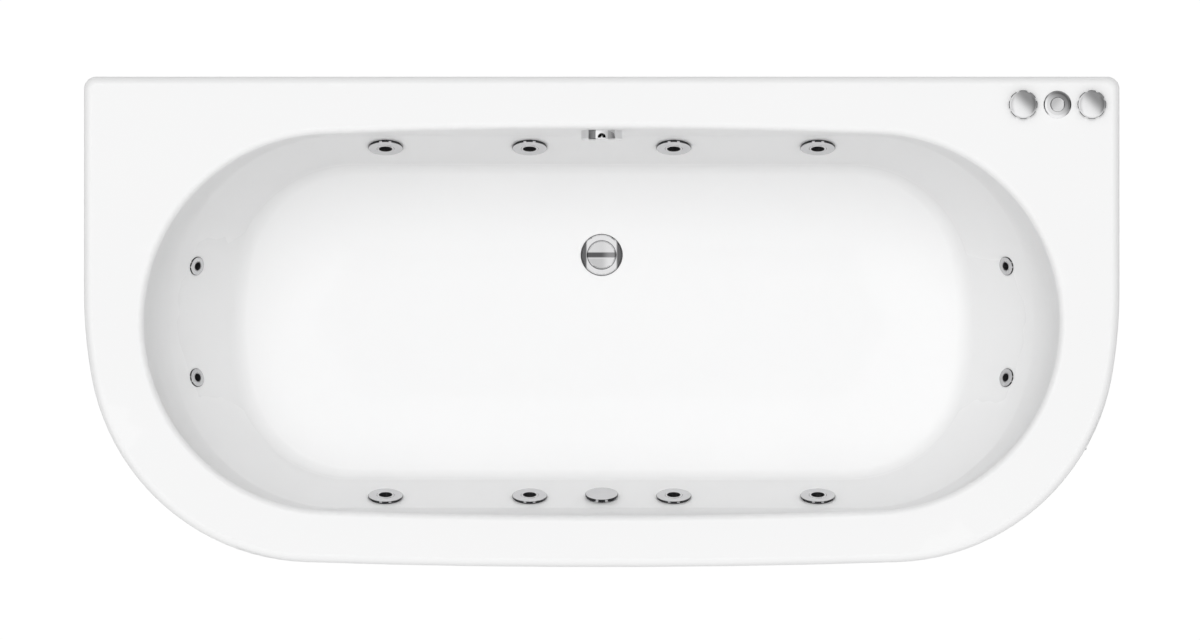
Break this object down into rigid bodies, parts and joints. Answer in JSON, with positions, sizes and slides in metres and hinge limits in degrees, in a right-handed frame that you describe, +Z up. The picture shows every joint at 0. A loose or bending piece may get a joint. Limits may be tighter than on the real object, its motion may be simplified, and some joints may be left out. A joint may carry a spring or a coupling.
{
  "type": "jetted bathtub",
  "caption": "Built-in jetted bathtub: rounded basin with wall jets, rim controls, drain and overflow, on a frame with pump, pipework and adjustable feet.",
  "frame": {"origin": "centre of the footprint on the floor, under the feet", "axes": "+X along the bath towards the pump end, +Y towards the wall side with the overflow and the controls, +Z up"},
  "size_m": [1.7, 0.8048, 0.595],
  "materials": {
    "bath": "gloss",
    "chrome": "polished",
    "jet_trim": "gloss",
    "nozzle": "gloss",
    "fitting": "satin",
    "pipe": "satin",
    "seal": "matte",
    "pump": "satin",
    "rotor": "satin",
    "motor": "satin",
    "timber": "matte",
    "steel": "satin"
  },
  "bodies": {
    "tub": {"air_feed": "pipe", "air_pipes": "pipe", "base_frame": "steel", "baseboard": "timber", "bath_shell": "bath", "bearers": "timber", "button_bezel": "chrome", "control_bodies": "fitting", "discharge_pipe": "fitting", "fan_cowl": "pump", "foot_nuts": "steel", "foot_pads": "seal", "foot_rods": "steel", "jet_bodies": "fitting", "jet_fittings": "jet_trim", "lock_nuts": "fitting", "motor_cradle": "timber", "motor_housing": "motor", "overflow_cover": "chrome", "overflow_elbow": "fitting", "overflow_pipe": "pipe", "pump_board": "timber", "pump_casing": "pump", "rim_frame": "timber", "rim_posts": "timber", "seals": "seal", "suction_body": "fitting", "suction_cover": "jet_trim", "suction_pipe": "pipe", "terminal_box": "pump", "trap": "fitting", "union_nuts": "fitting", "waste_body": "fitting", "waste_flange": "chrome", "water_pipes": "pipe"},
    "ring_back_1": {"jet_ring_back_1": "chrome"},
    "nozzle_back_1": {"jet_nozzle_back_1": "nozzle"},
    "ring_back_2": {"jet_ring_back_2": "chrome"},
    "nozzle_back_2": {"jet_nozzle_back_2": "nozzle"},
    "ring_back_3": {"jet_ring_back_3": "chrome"},
    "nozzle_back_3": {"jet_nozzle_back_3": "nozzle"},
    "ring_back_4": {"jet_ring_back_4": "chrome"},
    "nozzle_back_4": {"jet_nozzle_back_4": "nozzle"},
    "ring_front_1": {"jet_ring_front_1": "chrome"},
    "nozzle_front_1": {"jet_nozzle_front_1": "nozzle"},
    "ring_front_2": {"jet_ring_front_2": "chrome"},
    "nozzle_front_2": {"jet_nozzle_front_2": "nozzle"},
    "ring_front_3": {"jet_ring_front_3": "chrome"},
    "nozzle_front_3": {"jet_nozzle_front_3": "nozzle"},
    "ring_front_4": {"jet_ring_front_4": "chrome"},
    "nozzle_front_4": {"jet_nozzle_front_4": "nozzle"},
    "end_nozzle_left_back": {"end_nozzle_left_back": "nozzle"},
    "end_nozzle_left_front": {"end_nozzle_left_front": "nozzle"},
    "end_nozzle_right_back": {"end_nozzle_right_back": "nozzle"},
    "end_nozzle_right_front": {"end_nozzle_right_front": "nozzle"},
    "air_knob_left": {"air_knob_left": "chrome"},
    "air_knob_right": {"air_knob_right": "chrome"},
    "start_button": {"start_button": "chrome"},
    "plug": {"waste_plug": "chrome"},
    "rotor": {"pump_rotor": "rotor"}
  },
  "joints": [
    {"name": "flow_ring_back_1", "type": "hinge", "parent": "tub", "child": "ring_back_1", "pos_m": [-0.36, 0.293, 0.272], "axis": [0, -0.9304, 0.3665], "range_deg": [0, 90]},
    {"name": "nozzle_tilt_back_1", "type": "hinge", "parent": "ring_back_1", "child": "nozzle_back_1", "pos_m": [-0.36, 0.29765, 0.27017], "axis": [1, 0, 0], "range_deg": [-15, 15]},
    {"name": "flow_ring_back_2", "type": "hinge", "parent": "tub", "child": "ring_back_2", "pos_m": [-0.12, 0.293, 0.272], "axis": [0, -0.9304, 0.3665], "range_deg": [0, 90]},
    {"name": "nozzle_tilt_back_2", "type": "hinge", "parent": "ring_back_2", "child": "nozzle_back_2", "pos_m": [-0.12, 0.29765, 0.27017], "axis": [1, 0, 0], "range_deg": [-15, 15]},
    {"name": "flow_ring_back_3", "type": "hinge", "parent": "tub", "child": "ring_back_3", "pos_m": [0.12, 0.293, 0.272], "axis": [0, -0.9304, 0.3665], "range_deg": [0, 90]},
    {"name": "nozzle_tilt_back_3", "type": "hinge", "parent": "ring_back_3", "child": "nozzle_back_3", "pos_m": [0.12, 0.29765, 0.27017], "axis": [1, 0, 0], "range_deg": [-15, 15]},
    {"name": "flow_ring_back_4", "type": "hinge", "parent": "tub", "child": "ring_back_4", "pos_m": [0.36, 0.293, 0.272], "axis": [0, -0.9304, 0.3665], "range_deg": [0, 90]},
    {"name": "nozzle_tilt_back_4", "type": "hinge", "parent": "ring_back_4", "child": "nozzle_back_4", "pos_m": [0.36, 0.29765, 0.27017], "axis": [1, 0, 0], "range_deg": [-15, 15]},
    {"name": "flow_ring_front_1", "type": "hinge", "parent": "tub", "child": "ring_front_1", "pos_m": [-0.36, -0.293, 0.272], "axis": [0, 0.9304, 0.3665], "range_deg": [0, 90]},
    {"name": "nozzle_tilt_front_1", "type": "hinge", "parent": "ring_front_1", "child": "nozzle_front_1", "pos_m": [-0.36, -0.29765, 0.27017], "axis": [-1, 0, 0], "range_deg": [-15, 15]},
    {"name": "flow_ring_front_2", "type": "hinge", "parent": "tub", "child": "ring_front_2", "pos_m": [-0.12, -0.293, 0.272], "axis": [0, 0.9304, 0.3665], "range_deg": [0, 90]},
    {"name": "nozzle_tilt_front_2", "type": "hinge", "parent": "ring_front_2", "child": "nozzle_front_2", "pos_m": [-0.12, -0.29765, 0.27017], "axis": [-1, 0, 0], "range_deg": [-15, 15]},
    {"name": "flow_ring_front_3", "type": "hinge", "parent": "tub", "child": "ring_front_3", "pos_m": [0.12, -0.293, 0.272], "axis": [0, 0.9304, 0.3665], "range_deg": [0, 90]},
    {"name": "nozzle_tilt_front_3", "type": "hinge", "parent": "ring_front_3", "child": "nozzle_front_3", "pos_m": [0.12, -0.29765, 0.27017], "axis": [-1, 0, 0], "range_deg": [-15, 15]},
    {"name": "flow_ring_front_4", "type": "hinge", "parent": "tub", "child": "ring_front_4", "pos_m": [0.36, -0.293, 0.272], "axis": [0, 0.9304, 0.3665], "range_deg": [0, 90]},
    {"name": "nozzle_tilt_front_4", "type": "hinge", "parent": "ring_front_4", "child": "nozzle_front_4", "pos_m": [0.36, -0.29765, 0.27017], "axis": [-1, 0, 0], "range_deg": [-15, 15]},
    {"name": "end_nozzle_tilt_left_back", "type": "hinge", "parent": "tub", "child": "end_nozzle_left_back", "pos_m": [-0.67792, 0.09376, 0.26892], "axis": [0.2212, 0.9752, 0], "range_deg": [-15, 15]},
    {"name": "end_nozzle_tilt_left_front", "type": "hinge", "parent": "tub", "child": "end_nozzle_left_front", "pos_m": [-0.67792, -0.09376, 0.26892], "axis": [-0.2212, 0.9752, 0], "range_deg": [-15, 15]},
    {"name": "end_nozzle_tilt_right_back", "type": "hinge", "parent": "tub", "child": "end_nozzle_right_back", "pos_m": [0.67792, 0.09376, 0.26892], "axis": [0.2212, -0.9752, 0], "range_deg": [-15, 15]},
    {"name": "end_nozzle_tilt_right_front", "type": "hinge", "parent": "tub", "child": "end_nozzle_right_front", "pos_m": [0.67792, -0.09376, 0.26892], "axis": [-0.2212, -0.9752, 0], "range_deg": [-15, 15]},
    {"name": "air_knob_turn_left", "type": "hinge", "parent": "tub", "child": "air_knob_left", "pos_m": [0.6914, 0.3565, 0.58], "axis": [0, 0, 1], "range_deg": [0, 180]},
    {"name": "air_knob_turn_right", "type": "hinge", "parent": "tub", "child": "air_knob_right", "pos_m": [0.804, 0.3565, 0.58], "axis": [0, 0, 1], "range_deg": [0, 180]},
    {"name": "start_press", "type": "slide", "parent": "tub", "child": "start_button", "axis": [0, 0, -1], "range_m": [0, 0.005], "stiffness_N_per_m": 600, "springref_m": -0.002},
    {"name": "plug_lift", "type": "slide", "parent": "tub", "child": "plug", "axis": [0, 0, 1], "range_m": [0, 0.01]},
    {"name": "rotor_spin", "type": "hinge", "parent": "tub", "child": "rotor", "pos_m": [0.76123, -0.035, 0.17], "axis": [0, 1, 0], "continuous": true}
  ]
}
